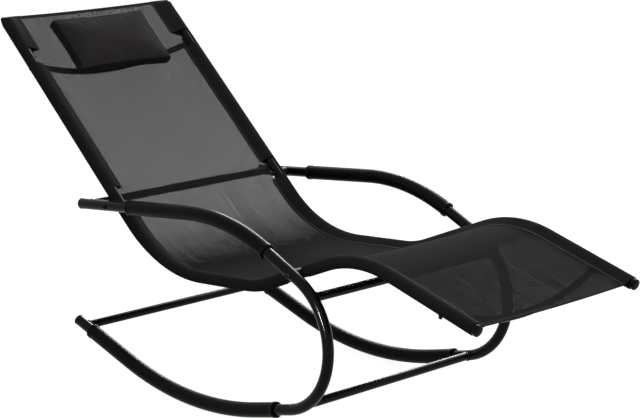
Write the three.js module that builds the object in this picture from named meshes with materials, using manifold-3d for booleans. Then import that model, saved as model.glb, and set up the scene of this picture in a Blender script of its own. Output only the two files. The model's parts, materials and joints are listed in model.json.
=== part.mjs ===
// Rocking chaise lounge: two bent tube side bows that rock, an S-shaped seat frame bolted between
// them, a textile sling stretched over the seat frame's rails, and a small head pillow.
// Millimetres, +Z up, the foot end towards -Y, the sitter's left towards +X.
// The origin is on the floor, below the middle of the whole chair.

import * as THREE from 'three';
import { mergeVertices } from 'three/addons/utils/BufferGeometryUtils.js';
import Module from 'manifold-3d';

const wasm = await Module();
wasm.setup();

// Fits shared by all pieces
const seatGap = 0.3;
const cutOverrun = 20;
const weld = 0.001;
const drillAccuracy = 0.0001;
const tubeSides = 12;
const boreSides = 8;
const boltSides = 12;
const nutSides = 6;
const screwSides = 8;
const domeSteps = 2;
const crownRings = 4;

// Side bows, followed from the armrest's rear end round the front and back along the runner
const bowDiameter = 25.4;
const tubeWall = 1.2;
const armRiseDegrees = 6.3;
const armStraight = 397;
const armBendRadius = 507;
const armBendDegrees = 30.2;
const shoulderStraight = 113;
const frontBendRadius = 159;
const frontBendDegrees = 142.2;
const runnerStraight = 121;
const rockerRadius = 832;
const rockerDegrees = 31.2;
const tailStraight = 203;

// Seat rails, followed from the head end down to the foot end
const railSpacing = 508;
const railDiameter = 25.4;
const headOverhang = 4;
const backStraight = 659;
const hipRadius = 333;
const hipDegrees = 46.35;
const seatStraight = 157;
const thighRadius = 236;
const thighDegrees = 18;
const thighStraight = 198;
const kneeRadius = 293;
const kneeDegrees = 37.9;
const calfStraight = 254;

// How finely each bend is faceted: whole numbers of facets in a full turn
const armFacets = 48;
const frontFacets = 30;
const rockerFacets = 64;
const railFacets = 48;
const spreaderFacets = 48;
const shortestFacetShare = 1 / 3;

// Bolted joints between rails and bows, and the gap between the two tubes that the spacers fill
const railToBow = 10.6;
const backBoltOnBow = 103;
const frontBoltOnBow = 758;
const backBoltOnRail = 596;
const boltDiameter = 8;
const boltHeadDiameter = 15;
const boltHeadHeight = 5;
const boltHeadCrownRise = 2.5;
const nutDiameter = 13;
const nutHeight = 9;
const nutCrownRise = 3;
const nutWall = 2.5;
const spacerDiameter = 22;

// Cross tubes between the bows, by their place along the bow
const crossDiameter = 20;
const crossWall = 1.2;
const backTubeOnBow = 26;
const kneeTubeOnBow = 834;
const frontTubeOnBow = 1168;
const rearTubeFromEnd = 28;

// Moulded sleeves on armrests and runners
const sleeveWall = 4.4;
const lipRise = 1;
const lipLength = 9;
const armSleeveStart = 184;
const armSleeveEnd = 670;
const runnerSleeveStart = 1215;
const runnerSleeveFromEnd = 54;

// End caps
const capFlangeRise = 0.6;
const capFlangeLength = 2;
const capDomeRise = 5;
const capStemLength = 16;
const capStemEase = 0.45;

// Bowed spreaders and the saddles that hold them on the rails
const spreaderDiameter = 16;
const spreaderWall = 1.2;
const spreaderDrop = 6;
const spreaderSag = 62;
const upperLeanDegrees = 4;
const lowerLeanDegrees = 12;
const spreaderTrim = 6;
const upperSpreaderOnRail = 137;
const lowerSpreaderOnRail = 1697;
const saddleLength = 34;
const saddleThickness = 2.5;
const saddleFromDegrees = 165;
const saddleToDegrees = 285;
const saddleSteps = 4;
const saddleScrewPitch = 18;
const screwDiameter = 5;
const screwHeadDiameter = 10;
const underHeadHeight = 8;
const innerHeadHeight = 3.2;
const screwReach = 7;

// Textile sling
const clothThickness = 1;
const tunnelWall = 3.3;
const panelThickness = 1.2;
const panelSag = 4;
const panelStrips = 6;
const seamFromRail = 25;
const seamWidth = 6;
const tunnelFootSetback = 8;
const edgeBandWidth = 9;
const edgeBandThickness = 2.4;
const tunnelArcSteps = 8;
const notchPastRail = 6;
const upperNotchAbove = 33;
const upperNotchBelow = 19;
const backNotchAbove = 44;
const backNotchBelow = 18;
const frontNotchAbove = 66;
const frontNotchBelow = 20;
const lowerNotchAbove = 28;
const lowerNotchBelow = 20;

// Head pillow
const pillowWidth = 282;
const pillowLength = 164;
const pillowThickness = 44;
const pillowGusset = 24;
const pillowDrawIn = 5;
const pillowFromHead = 120;
const pillowSides = 32;
const pillowSquareness = 7;
const pillowFullness = 0.6;
const pillowRingShares = [1, 0.9, 0.72, 0.45];
const stripWidth = 24;
const stripLength = 130;
const stripThickness = 1.2;
const stripSpacing = 170;

const bowRadius = bowDiameter / 2;
const railRadius = railDiameter / 2;
const railX = railSpacing / 2;
const bowX = railX + railRadius + railToBow + bowRadius;
const sleeveRadius = bowRadius + seatGap + sleeveWall;
const bowEnd = { radius: bowRadius, rise: capFlangeRise };
const railFoot = { radius: railRadius, rise: capFlangeRise };
const railHead = { radius: railRadius, rise: 0 };
const rad = THREE.MathUtils.degToRad;
const flat = Math.cos(Math.PI / tubeSides);
const boreFlat = Math.cos(Math.PI / boreSides);

// Finishes
const paint = (color, roughness, metalness) =>
  new THREE.MeshStandardMaterial({ color, roughness, metalness });
const blackSteel = paint(0x1c1a1c, 0.35, 0.5);
const grip = paint(0x1f1d1f, 0.5, 0);
const plastic = paint(0x19181a, 0.4, 0);
const zinc = paint(0x3a3a3c, 0.4, 0.8);
const weave = paint(0x3b3b3d, 0.85, 0);
const hemCloth = paint(0x222022, 0.9, 0);
const pillowCloth = paint(0x29272a, 0.95, 0);

// A bent tube's centre line in the side plane: stations with their distance, place and heading
class BendPath extends THREE.Curve {
  constructor(stations) {
    super();
    this.stations = stations;
  }
  get length() {
    return this.stations[this.stations.length - 1].s;
  }
  station(u) {
    return this.stations[Math.round(u * (this.stations.length - 1))];
  }
  getPointAt(u, target = new THREE.Vector3()) {
    const { y, z } = this.station(u);
    return target.set(0, y, z);
  }
  getPoint(u, target) {
    return this.getPointAt(u, target);
  }
  getTangentAt(u, target = new THREE.Vector3()) {
    const { heading } = this.station(u);
    return target.set(0, Math.cos(heading), Math.sin(heading));
  }
  // Profiles stay square to the side plane: their x is the chair's X, their y the upper side
  computeFrenetFrames(steps) {
    const frames = { tangents: [], normals: [], binormals: [] };
    for (let i = 0; i <= steps; i += 1) {
      const tangent = this.getTangentAt(i / steps);
      const normal = new THREE.Vector3(1, 0, 0);
      frames.tangents.push(tangent);
      frames.normals.push(normal);
      frames.binormals.push(new THREE.Vector3().crossVectors(tangent, normal));
    }
    return frames;
  }
  // The place at a distance along the faceted line
  at(s) {
    const list = this.stations;
    let i = 1;
    while (i < list.length - 1 && list[i].s < s) i += 1;
    const a = list[i - 1];
    const b = list[i];
    const t = (s - a.s) / (b.s - a.s);
    const heading = Math.atan2(b.z - a.z, b.y - a.y);
    return { s, y: a.y + t * (b.y - a.y), z: a.z + t * (b.z - a.z), heading };
  }
  slice(from, to) {
    const inner = this.stations.filter(({ s }) => s > from + weld && s < to - weld);
    return new BendPath([this.at(from), ...inner, this.at(to)]);
  }
}

// Straights and arcs in turn. Arcs are broken at even headings, counted from level, so that an arc
// that runs level at some point has a level facet there
function bend(start, legs) {
  const stations = [{ s: 0, ...start }];
  for (const { length, radius, degrees, facets } of legs) {
    const from = stations[stations.length - 1];
    if (length) {
      const y = from.y + length * Math.cos(from.heading);
      const z = from.z + length * Math.sin(from.heading);
      stations.push({ s: from.s + length, y, z, heading: from.heading });
      continue;
    }
    const turn = rad(degrees);
    const way = Math.sign(turn);
    const stepTurn = (2 * Math.PI) / facets;
    const first = Math.min(from.heading, from.heading + turn) + stepTurn * shortestFacetShare;
    const last = Math.max(from.heading, from.heading + turn) - stepTurn * shortestFacetShare;
    const marks = [];
    for (let k = Math.ceil(first / stepTurn - 0.5); (k + 0.5) * stepTurn < last; k += 1) {
      marks.push((k + 0.5) * stepTurn);
    }
    marks.sort((a, b) => way * (a - b));
    for (const heading of [...marks, from.heading + turn]) {
      const y = from.y + way * radius * (Math.sin(heading) - Math.sin(from.heading));
      const z = from.z - way * radius * (Math.cos(heading) - Math.cos(from.heading));
      stations.push({ s: from.s + radius * Math.abs(heading - from.heading), y, z, heading });
    }
  }
  return new BendPath(stations);
}

const bowLegs = [
  { length: armStraight },
  { radius: armBendRadius, degrees: armBendDegrees, facets: armFacets },
  { length: shoulderStraight },
  { radius: frontBendRadius, degrees: frontBendDegrees, facets: frontFacets },
  { length: runnerStraight },
  { radius: rockerRadius, degrees: rockerDegrees, facets: rockerFacets },
  { length: tailStraight },
];
const bow = bend({ y: 0, z: 0, heading: rad(180 - armRiseDegrees) }, bowLegs);

const railLegs = [
  { length: headOverhang + backStraight },
  { radius: hipRadius, degrees: -hipDegrees, facets: railFacets },
  { length: seatStraight },
  { radius: thighRadius, degrees: -thighDegrees, facets: railFacets },
  { length: thighStraight },
  { radius: kneeRadius, degrees: kneeDegrees, facets: railFacets },
  { length: calfStraight },
];

// The bent rail hangs on the bows' two bolts: its rear bolt hole is drilled at a set place, and its
// front one where the bows' bolt comes out
function placeRail() {
  const near = bow.at(backBoltOnBow);
  const far = bow.at(frontBoltOnBow);
  const span = Math.hypot(far.y - near.y, far.z - near.z);
  const loose = bend({ y: 0, z: 0, heading: 0 }, railLegs);
  const drilled = loose.at(headOverhang + backBoltOnRail);
  const reach = (s) => Math.hypot(loose.at(s).y - drilled.y, loose.at(s).z - drilled.z);
  let low = drilled.s;
  let high = loose.length;
  while (high - low > drillAccuracy) {
    const middle = (low + high) / 2;
    if (reach(middle) < span) low = middle;
    else high = middle;
  }
  const second = loose.at(low);
  const bowSlope = Math.atan2(far.z - near.z, far.y - near.y);
  const turn = bowSlope - Math.atan2(second.z - drilled.z, second.y - drilled.y);
  const y = near.y - drilled.y * Math.cos(turn) + drilled.z * Math.sin(turn);
  const z = near.z - drilled.y * Math.sin(turn) - drilled.z * Math.cos(turn);
  return { rail: bend({ y, z, heading: turn }, railLegs), frontBoltOnRail: low };
}
const { rail, frontBoltOnRail } = placeRail();
const onRail = (s) => headOverhang + s;

// Profiles
function polygon(radius, sides = tubeSides) {
  const points = [];
  for (let i = 0; i < sides; i += 1) {
    const angle = ((i + 0.5) * 2 * Math.PI) / sides;
    points.push(new THREE.Vector2(radius * Math.cos(angle), radius * Math.sin(angle)));
  }
  return points;
}

function ringShape(outer, inner, innerSides = boreSides) {
  const shape = new THREE.Shape(polygon(outer));
  if (inner) shape.holes.push(new THREE.Path(polygon(inner, innerSides)));
  return shape;
}

const sweep = (shape, path) =>
  new THREE.ExtrudeGeometry(shape, { extrudePath: path, steps: path.stations.length - 1 });

function straightTube(outer, inner, length) {
  const settings = { depth: length, bevelEnabled: false };
  const geometry = new THREE.ExtrudeGeometry(ringShape(outer, inner), settings);
  geometry.translate(0, 0, -length / 2);
  return geometry.rotateY(Math.PI / 2);
}

// A round pin along X from one x to another
function pinAlongX(radius, from, to) {
  const pin = new THREE.CylinderGeometry(radius, radius, Math.abs(to - from), boltSides);
  return pin.rotateZ(Math.PI / 2).translate((from + to) / 2, 0, 0);
}

// Solids for cutting and joining
function solid(geometry) {
  const bare = geometry.clone();
  bare.deleteAttribute('normal');
  bare.deleteAttribute('uv');
  const merged = mergeVertices(bare, weld);
  const vertProperties = new Float32Array(merged.attributes.position.array);
  const triVerts = new Uint32Array(merged.index.array);
  return new wasm.Manifold(new wasm.Mesh({ numProp: 3, vertProperties, triVerts }));
}

function geometryOf(body) {
  const { vertProperties, triVerts } = body.getMesh();
  const geometry = new THREE.BufferGeometry();
  geometry.setAttribute('position', new THREE.BufferAttribute(vertProperties, 3));
  geometry.setIndex(new THREE.BufferAttribute(triVerts, 1));
  return geometry;
}

const cut = (geometry, tools) =>
  geometryOf(tools.reduce((body, tool) => body.subtract(solid(tool)), solid(geometry)));
const join = (first, others) =>
  geometryOf(others.reduce((body, other) => body.add(solid(other)), solid(first)));

// A matrix that stands a fitting on a path: its -Y follows the path, its +Z is the upper side
function placeOn(path, s, x = 0) {
  const { y, z, heading } = path.at(s);
  return new THREE.Matrix4().makeRotationX(heading - Math.PI).setPosition(x, y, z);
}

const chair = new THREE.Group();
const chassis = new THREE.Group();
chair.add(chassis);

function addPiece(name, geometry, material, x = 0) {
  geometry.computeVertexNormals();
  const mesh = new THREE.Mesh(geometry, material);
  mesh.name = name;
  mesh.position.x = x;
  chassis.add(mesh);
  return mesh;
}

// A fitting is modelled round the origin and set on a path by its place and turn
function addFitting(name, geometry, material, path, s, x = 0) {
  const mesh = addPiece(name, geometry, material, x);
  const { y, z, heading } = path.at(s);
  mesh.position.set(x, y, z);
  mesh.rotation.x = heading - Math.PI;
  return mesh;
}

const sides = [
  { side: 'left', way: 1 },
  { side: 'right', way: -1 },
];
const boltPlaces = [
  { name: 'back', bowS: backBoltOnBow, railS: onRail(backBoltOnRail) },
  { name: 'front', bowS: frontBoltOnBow, railS: frontBoltOnRail },
];

// Side bows, with a bore through both walls at each bolt
function sideBow() {
  const tube = sweep(ringShape(bowRadius, bowRadius - tubeWall), bow);
  const bores = boltPlaces.map(({ bowS }) => {
    const { y, z } = bow.at(bowS);
    return pinAlongX(boltDiameter / 2 + seatGap, -bowDiameter, bowDiameter).translate(0, y, z);
  });
  return cut(tube, bores);
}

// Moulded sleeve: a thick tube round the bow with a raised lip at each end
function sleeve(from, to) {
  const bore = bowRadius + seatGap;
  const body = sweep(ringShape(sleeveRadius, bore, tubeSides), bow.slice(from, to));
  const lips = [from, to - lipLength].map((s) =>
    sweep(ringShape(sleeveRadius + lipRise, bore, tubeSides), bow.slice(s, s + lipLength)));
  return join(body, lips);
}

// Domed plug: a stem in the tube, a flange on its end and a low dome
function endCap(radius, wall, rise) {
  const stem = (radius - wall) * boreFlat - capStemEase;
  const flange = radius + rise;
  const domeHeight = capDomeRise - capFlangeLength;
  const dome = new THREE.EllipseCurve(0, capFlangeLength, flange, domeHeight, 0, Math.PI / 2);
  const profile = [
    new THREE.Vector2(0, -capStemLength),
    new THREE.Vector2(stem, -capStemLength),
    new THREE.Vector2(stem, 0),
    new THREE.Vector2(flange, 0),
    ...dome.getPoints(domeSteps),
  ];
  profile[profile.length - 1].x = 0;
  return new THREE.LatheGeometry(profile, tubeSides);
}

// A cap stands on its tube's end, its dome pointing out along the tube
function addCap(name, path, s, outward, { radius, rise }, x) {
  const geometry = endCap(radius, tubeWall, rise).translate(0, seatGap, 0);
  if (outward < 0) geometry.rotateX(Math.PI);
  return addFitting(name, geometry, plastic, path, s, x);
}

function addBows() {
  for (const { side, way } of sides) {
    addPiece(`bow_${side}`, sideBow(), blackSteel, way * bowX);
    addPiece(`arm_sleeve_${side}`, sleeve(armSleeveStart, armSleeveEnd), grip, way * bowX);
    const runnerEnd = bow.length - runnerSleeveFromEnd;
    addPiece(`runner_sleeve_${side}`, sleeve(runnerSleeveStart, runnerEnd), grip, way * bowX);
    addCap(`arm_cap_${side}`, bow, 0, 1, bowEnd, way * bowX);
    addCap(`runner_cap_${side}`, bow, bow.length, -1, bowEnd, way * bowX);
  }
}

// A short stretch of a tube with room round it, as a cutter for what is coped against it
function clearance(path, s, radius, x) {
  const from = Math.max(0, s - 2 * radius - cutOverrun);
  const to = Math.min(path.length, s + 2 * radius + cutOverrun);
  return sweep(ringShape(radius + seatGap), path.slice(from, to)).translate(x, 0, 0);
}

// Cross tube: its ends are coped to sit round the bows
function crossTube(s) {
  const { y, z } = bow.at(s);
  const radius = crossDiameter / 2;
  const tube = straightTube(radius, radius - crossWall, 2 * bowX).translate(0, y, z);
  return cut(tube, [clearance(bow, s, bowRadius, bowX), clearance(bow, s, bowRadius, -bowX)]);
}

function addCrossTubes() {
  const places = {
    back: backTubeOnBow,
    knee: kneeTubeOnBow,
    front: frontTubeOnBow,
    rear: bow.length - rearTubeFromEnd,
  };
  for (const [name, s] of Object.entries(places)) {
    addPiece(`cross_tube_${name}`, crossTube(s), blackSteel);
  }
}

// Bolts, cap nuts and saddle-ended spacers between rails and bows
const headSeat = bowX + bowRadius * flat + seatGap;
const nutSeat = railX - railRadius * flat - seatGap;

function throughBolt() {
  const tip = nutSeat - nutHeight + nutWall + seatGap;
  const shank = boltDiameter / 2;
  const head = boltHeadDiameter / 2;
  const rim = headSeat + boltHeadHeight - boltHeadCrownRise;
  const crown = new THREE.EllipseCurve(0, rim, head, boltHeadCrownRise, 0, Math.PI / 2);
  const profile = [
    new THREE.Vector2(0, tip),
    new THREE.Vector2(shank, tip),
    new THREE.Vector2(shank, headSeat),
    new THREE.Vector2(head, headSeat),
    ...crown.getPoints(domeSteps),
  ];
  profile[profile.length - 1].x = 0;
  return new THREE.LatheGeometry(profile, boltSides).rotateZ(-Math.PI / 2);
}

function capNut() {
  const outer = nutDiameter / 2;
  const bore = boltDiameter / 2 + seatGap;
  const floor = nutSeat - nutHeight + nutWall;
  const hexagon = new THREE.CylinderGeometry(outer, outer, nutHeight - nutCrownRise, nutSides);
  hexagon.translate(0, nutSeat - (nutHeight - nutCrownRise) / 2, 0);
  const crownRadius = outer * Math.cos(Math.PI / nutSides);
  const crown = new THREE.SphereGeometry(1, boltSides, crownRings);
  crown.scale(crownRadius, nutCrownRise, crownRadius);
  crown.translate(0, nutSeat - nutHeight + nutCrownRise, 0);
  const drill = new THREE.CylinderGeometry(bore, bore, nutHeight, boltSides);
  drill.translate(0, floor + nutHeight / 2, 0);
  return cut(join(hexagon, [crown]), [drill]).rotateZ(-Math.PI / 2);
}

function spacer({ bowS, railS }) {
  const { y, z } = bow.at(bowS);
  const body = pinAlongX(spacerDiameter / 2, railX, bowX).translate(0, y, z);
  const bore = pinAlongX(boltDiameter / 2 + seatGap, railX - cutOverrun, bowX + cutOverrun);
  bore.translate(0, y, z);
  return cut(body, [
    clearance(bow, bowS, bowRadius, bowX),
    clearance(rail, railS, railRadius, railX),
    bore,
  ]);
}

function addBoltedJoints() {
  for (const place of boltPlaces) {
    for (const { side, way } of sides) {
      const turn = way > 0 ? 0 : Math.PI;
      const bush = spacer(place);
      if (way < 0) bush.scale(-1, 1, 1);
      addPiece(`spacer_${place.name}_${side}`, way < 0 ? flipped(bush) : bush, plastic);
      for (const [name, geometry] of [['bolt', throughBolt()], ['nut', capNut()]]) {
        const mesh = addPiece(`${name}_${place.name}_${side}`, geometry.rotateY(turn), zinc);
        const { y, z } = bow.at(place.bowS);
        mesh.position.set(0, y, z);
      }
    }
  }
}

// A mirrored mesh has its triangles turned round again
function flipped(geometry) {
  const index = geometry.index.array;
  for (let i = 0; i < index.length; i += 3) {
    [index[i], index[i + 1]] = [index[i + 1], index[i]];
  }
  return geometry;
}

// Spreader ends and saddle screws, in a fitting's own frame on the rail
const spreaderPlaces = [
  { name: 'upper', s: onRail(upperSpreaderOnRail), lean: rad(upperLeanDegrees) },
  { name: 'lower', s: onRail(lowerSpreaderOnRail), lean: rad(lowerLeanDegrees) },
];
const saddleInner = railRadius + seatGap;
const saddleOuter = saddleInner + saddleThickness;
const screwHeadSeat = saddleOuter * flat + seatGap;

// Two screws a saddle, staggered along the rail: a tall one from below, a low one from the inner side
const screwPlaces = [
  { name: 'under', angle: -90, shift: -saddleScrewPitch / 2, headHeight: underHeadHeight },
  { name: 'inner', angle: 180, shift: saddleScrewPitch / 2, headHeight: innerHeadHeight },
];

function saddleScrew(headHeight) {
  const shank = screwDiameter / 2;
  const head = screwHeadDiameter / 2;
  const crown = new THREE.EllipseCurve(0, screwHeadSeat, head, headHeight, 0, Math.PI / 2);
  const profile = [
    new THREE.Vector2(0, railRadius - screwReach),
    new THREE.Vector2(shank, railRadius - screwReach),
    new THREE.Vector2(shank, screwHeadSeat),
    ...crown.getPoints(domeSteps),
  ];
  profile[profile.length - 1].x = 0;
  return new THREE.LatheGeometry(profile, screwSides);
}

// A screw points along the profile's x at an angle of nought; way mirrors it for the right-hand rail
function aimScrew(geometry, { angle, shift }, way) {
  geometry.rotateZ(rad(angle) - Math.PI / 2);
  if (way < 0) geometry.rotateZ(angle === 180 ? Math.PI : 0);
  return geometry.rotateX(Math.PI / 2).translate(0, shift, 0);
}

function screwHole() {
  const radius = screwDiameter / 2 + seatGap;
  const length = saddleThickness + screwReach + cutOverrun;
  const drill = new THREE.CylinderGeometry(radius, radius, length, screwSides);
  return drill.translate(0, railRadius - screwReach - seatGap + length / 2, 0);
}

// Rail: bored for the bolts and for the saddle screws, in the side plane at x nought
function seatRail(way) {
  const tube = sweep(ringShape(railRadius, railRadius - tubeWall), rail);
  const tools = boltPlaces.map(({ bowS }) => {
    const { y, z } = bow.at(bowS);
    return pinAlongX(boltDiameter / 2 + seatGap, -railDiameter, railDiameter).translate(0, y, z);
  });
  for (const { s } of spreaderPlaces) {
    for (const screw of screwPlaces) {
      tools.push(aimScrew(screwHole(), screw, way).applyMatrix4(placeOn(rail, s)));
    }
  }
  return cut(tube, tools);
}

// Saddle: a plate formed round the rail from below to the inner side
function saddle(way) {
  const from = rad(saddleFromDegrees);
  const turn = rad(saddleToDegrees) - from;
  const points = [];
  for (let i = 0; i <= saddleSteps; i += 1) points.push([saddleOuter, from + (turn * i) / saddleSteps]);
  for (let i = saddleSteps; i >= 0; i -= 1) points.push([saddleInner, from + (turn * i) / saddleSteps]);
  const outline = points.map(([r, a]) => new THREE.Vector2(way * r * Math.cos(a), r * Math.sin(a)));
  const settings = { depth: saddleLength, bevelEnabled: false };
  const plate = new THREE.ExtrudeGeometry(new THREE.Shape(outline), settings);
  plate.translate(0, 0, -saddleLength / 2).rotateX(Math.PI / 2);
  return cut(plate, screwPlaces.map((screw) => aimScrew(screwHole(), screw, way)));
}

// Spreader: a bowed tube from rail to rail, leaning a little towards the foot, its ends coped
// round the saddles
function spreader(lean) {
  const chordRadius = (railX * railX + spreaderSag * spreaderSag) / (2 * spreaderSag);
  const half = Math.asin(railX / chordRadius);
  const degrees = THREE.MathUtils.radToDeg(2 * half);
  const arc = bend({ y: railX, z: -spreaderDrop, heading: Math.PI + half },
    [{ radius: chordRadius, degrees: -degrees, facets: spreaderFacets }]);
  const path = arc.slice(spreaderTrim, arc.length - spreaderTrim);
  const tube = sweep(ringShape(spreaderDiameter / 2, spreaderDiameter / 2 - spreaderWall), path);
  tube.rotateZ(-Math.PI / 2).rotateX(-lean);
  const cope = straightTube((saddleOuter + seatGap) / flat, 0, 2 * saddleLength).rotateZ(Math.PI / 2);
  return cut(tube, [cope.clone().translate(railX, 0, 0), cope.clone().translate(-railX, 0, 0)]);
}

function addSeatFrame() {
  for (const { side, way } of sides) {
    addPiece(`rail_${side}`, seatRail(way), blackSteel, way * railX);
    addCap(`head_plug_${side}`, rail, 0, 1, railHead, way * railX);
    addCap(`foot_cap_${side}`, rail, rail.length, -1, railFoot, way * railX);
  }
  for (const { name, s, lean } of spreaderPlaces) {
    addFitting(`spreader_${name}`, spreader(lean), blackSteel, rail, s);
    for (const { side, way } of sides) {
      addFitting(`saddle_${name}_${side}`, saddle(way), blackSteel, rail, s, way * railX);
      for (const screw of screwPlaces) {
        const geometry = aimScrew(saddleScrew(screw.headHeight), screw, way);
        addFitting(`screw_${name}_${screw.name}_${side}`, geometry, zinc, rail, s, way * railX);
      }
    }
  }
}

// Sling hem: a cloth tunnel round the rail that closes to a two-layer seam with the panel between
const tunnelInner = railRadius + seatGap;
const tunnelOuter = tunnelInner + tunnelWall;
const seamHalf = panelThickness / 2 + seatGap + clothThickness;
const slotHalf = panelThickness / 2 + seatGap;

// Teardrop round the rail whose flanks run to a point at the seam; its flat sides keep the radius
function teardrop(radius, reach, half) {
  const lean = Math.acos((radius - half) / reach);
  const step = (2 * Math.PI - 2 * lean) / tunnelArcSteps;
  const corner = radius / Math.cos(step / 2);
  const points = [];
  for (let i = 0; i <= tunnelArcSteps; i += 1) {
    const angle = lean + step * i;
    points.push(new THREE.Vector2(corner * Math.cos(angle), corner * Math.sin(angle)));
  }
  return points;
}

function hemShape() {
  const seamEnd = seamFromRail + seamWidth;
  const outline = [
    ...teardrop(tunnelOuter, seamFromRail, seamHalf),
    new THREE.Vector2(seamFromRail, -seamHalf),
    new THREE.Vector2(seamEnd, -seamHalf),
    new THREE.Vector2(seamEnd, -slotHalf),
    new THREE.Vector2(seamFromRail, -slotHalf),
    new THREE.Vector2(seamFromRail, slotHalf),
    new THREE.Vector2(seamEnd, slotHalf),
    new THREE.Vector2(seamEnd, seamHalf),
    new THREE.Vector2(seamFromRail, seamHalf),
  ];
  const shape = new THREE.Shape(outline);
  const tip = seamFromRail - clothThickness;
  shape.holes.push(new THREE.Path([...teardrop(tunnelInner, tip, 0), new THREE.Vector2(tip, 0)]));
  return shape;
}

const notches = [
  { s: onRail(upperSpreaderOnRail), above: upperNotchAbove, below: upperNotchBelow },
  { s: onRail(backBoltOnRail), above: backNotchAbove, below: backNotchBelow },
  { s: frontBoltOnRail, above: frontNotchAbove, below: frontNotchBelow },
  { s: onRail(lowerSpreaderOnRail), above: lowerNotchAbove, below: lowerNotchBelow },
];
const hemFoot = rail.length - tunnelFootSetback;

// The rail's line runs on above its head end, where the hem's closed pocket goes over the plug
function aboveHead(rises) {
  const { y, z, heading } = rail.stations[0];
  const place = (rise) => ({
    s: -rise,
    y: y - rise * Math.cos(heading),
    z: z - rise * Math.sin(heading),
    heading,
  });
  return new BendPath(rises.map(place));
}
const pocketDepth = capDomeRise + 2 * seatGap;
const slingTop = pocketDepth + clothThickness / 2;
const slingPath = new BendPath([aboveHead([slingTop]).stations[0], ...rail.slice(0, hemFoot).stations]);

// The tunnel's inner side is cut away at each fitting: its outer side and the seam run through. The
// spacers pass through holes in its outer side
function slingHem(way) {
  const whole = sweep(hemShape(), slingPath);
  const reach = railDiameter + cutOverrun;
  const width = seamFromRail - clothThickness + notchPastRail;
  const windows = notches.map(({ s, above, below }) => {
    const box = new THREE.BoxGeometry(width, above + below, 2 * reach);
    return box.translate(width / 2 - notchPastRail, (above - below) / 2, 0).applyMatrix4(placeOn(rail, s));
  });
  const holeRadius = (spacerDiameter / 2 + seatGap) / Math.cos(Math.PI / boltSides);
  const holes = boltPlaces.map(({ railS }) => {
    return pinAlongX(holeRadius, -reach, 0).applyMatrix4(placeOn(rail, railS));
  });
  const cover = sweep(new THREE.Shape(teardrop(tunnelOuter, seamFromRail, seamHalf)),
    aboveHead([pocketDepth + clothThickness, pocketDepth]));
  const hem = cut(join(whole, [cover]), [...windows, ...holes]);
  return way > 0 ? flipped(hem.scale(-1, 1, 1)) : hem;
}

// Sling panel: a sheet between the seams, a little slack across, with a doubled band at each end
const panelHalf = railX - seamFromRail - seatGap;
const panelCorners = [];
for (let i = 0; i <= panelStrips; i += 1) {
  const x = panelHalf * ((2 * i) / panelStrips - 1);
  panelCorners.push(new THREE.Vector2(x, -panelSag * (1 - (x / panelHalf) ** 2)));
}

function panelShape(thickness) {
  const edge = (rise) => panelCorners.map(({ x, y }) => new THREE.Vector2(x, y + rise));
  return new THREE.Shape([...edge(-thickness / 2), ...edge(thickness / 2).reverse()]);
}

// How high the panel's middle layer lies at a distance from the chair's middle
function panelHeight(x) {
  const i = panelCorners.findIndex((corner) => corner.x >= x);
  const a = panelCorners[i - 1];
  const b = panelCorners[i];
  return a.y + ((x - a.x) / (b.x - a.x)) * (b.y - a.y);
}

// The bands stop at the seams' inner edges
function edgeBand(path) {
  const inner = railX - seamFromRail - seamWidth - seatGap;
  const band = sweep(panelShape(edgeBandThickness), path);
  const { y, z } = path.stations[0];
  const keep = new THREE.BoxGeometry(2 * inner, 4 * edgeBandWidth, 4 * edgeBandWidth).translate(0, y, z);
  return geometryOf(solid(band).intersect(solid(keep)));
}

function slingPanel() {
  const sheet = sweep(panelShape(panelThickness), slingPath);
  const topBand = edgeBand(slingPath.slice(-slingTop, edgeBandWidth - slingTop));
  const footBand = edgeBand(slingPath.slice(hemFoot - edgeBandWidth, hemFoot));
  return join(sheet, [topBand, footBand]);
}

function addSling() {
  addPiece('sling_panel', slingPanel(), weave);
  for (const { side, way } of sides) {
    addPiece(`sling_hem_${side}`, slingHem(way), hemCloth, way * railX);
  }
}

// Pillow outline: a rounded rectangle whose sides pull in between the corners
function pillowOutline() {
  const points = [];
  const squared = (value) => Math.sign(value) * Math.abs(value) ** (2 / pillowSquareness);
  for (let i = 0; i < pillowSides; i += 1) {
    const angle = (2 * Math.PI * i) / pillowSides;
    const u = squared(Math.cos(angle));
    const v = squared(Math.sin(angle));
    const x = u * (pillowWidth / 2 - pillowDrawIn * (1 - v * v));
    const y = v * (pillowLength / 2 - pillowDrawIn * (1 - u * u));
    points.push(new THREE.Vector2(x, y));
  }
  return points;
}

// Pillow: rings drawn in from the outline to the middle, crowned on top, nearly flat below
function pillowForm() {
  const count = pillowSides;
  const outline = pillowOutline();
  const crown = pillowThickness - pillowGusset;
  const rings = pillowRingShares.map((share) => ({ share, z: 0 })).reverse();
  for (const share of pillowRingShares) {
    rings.push({ share, z: pillowGusset + crown * (1 - share * share) ** pillowFullness });
  }
  const positions = [];
  for (const { share, z } of rings) {
    for (const { x, y } of outline) positions.push(x * share, y * share, z);
  }
  const bottom = positions.length / 3;
  positions.push(0, 0, 0);
  const top = positions.length / 3;
  positions.push(0, 0, pillowThickness);
  const index = [];
  for (let i = 0; i < count; i += 1) {
    const j = (i + 1) % count;
    index.push(bottom, j, i);
    const last = (rings.length - 1) * count;
    index.push(top, last + i, last + j);
    for (let k = 0; k < rings.length - 1; k += 1) {
      const low = k * count;
      const high = low + count;
      index.push(low + i, low + j, high + j, low + i, high + j, high + i);
    }
  }
  const geometry = new THREE.BufferGeometry();
  geometry.setAttribute('position', new THREE.Float32BufferAttribute(positions, 3));
  geometry.setIndex(index);
  return geometry;
}

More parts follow.
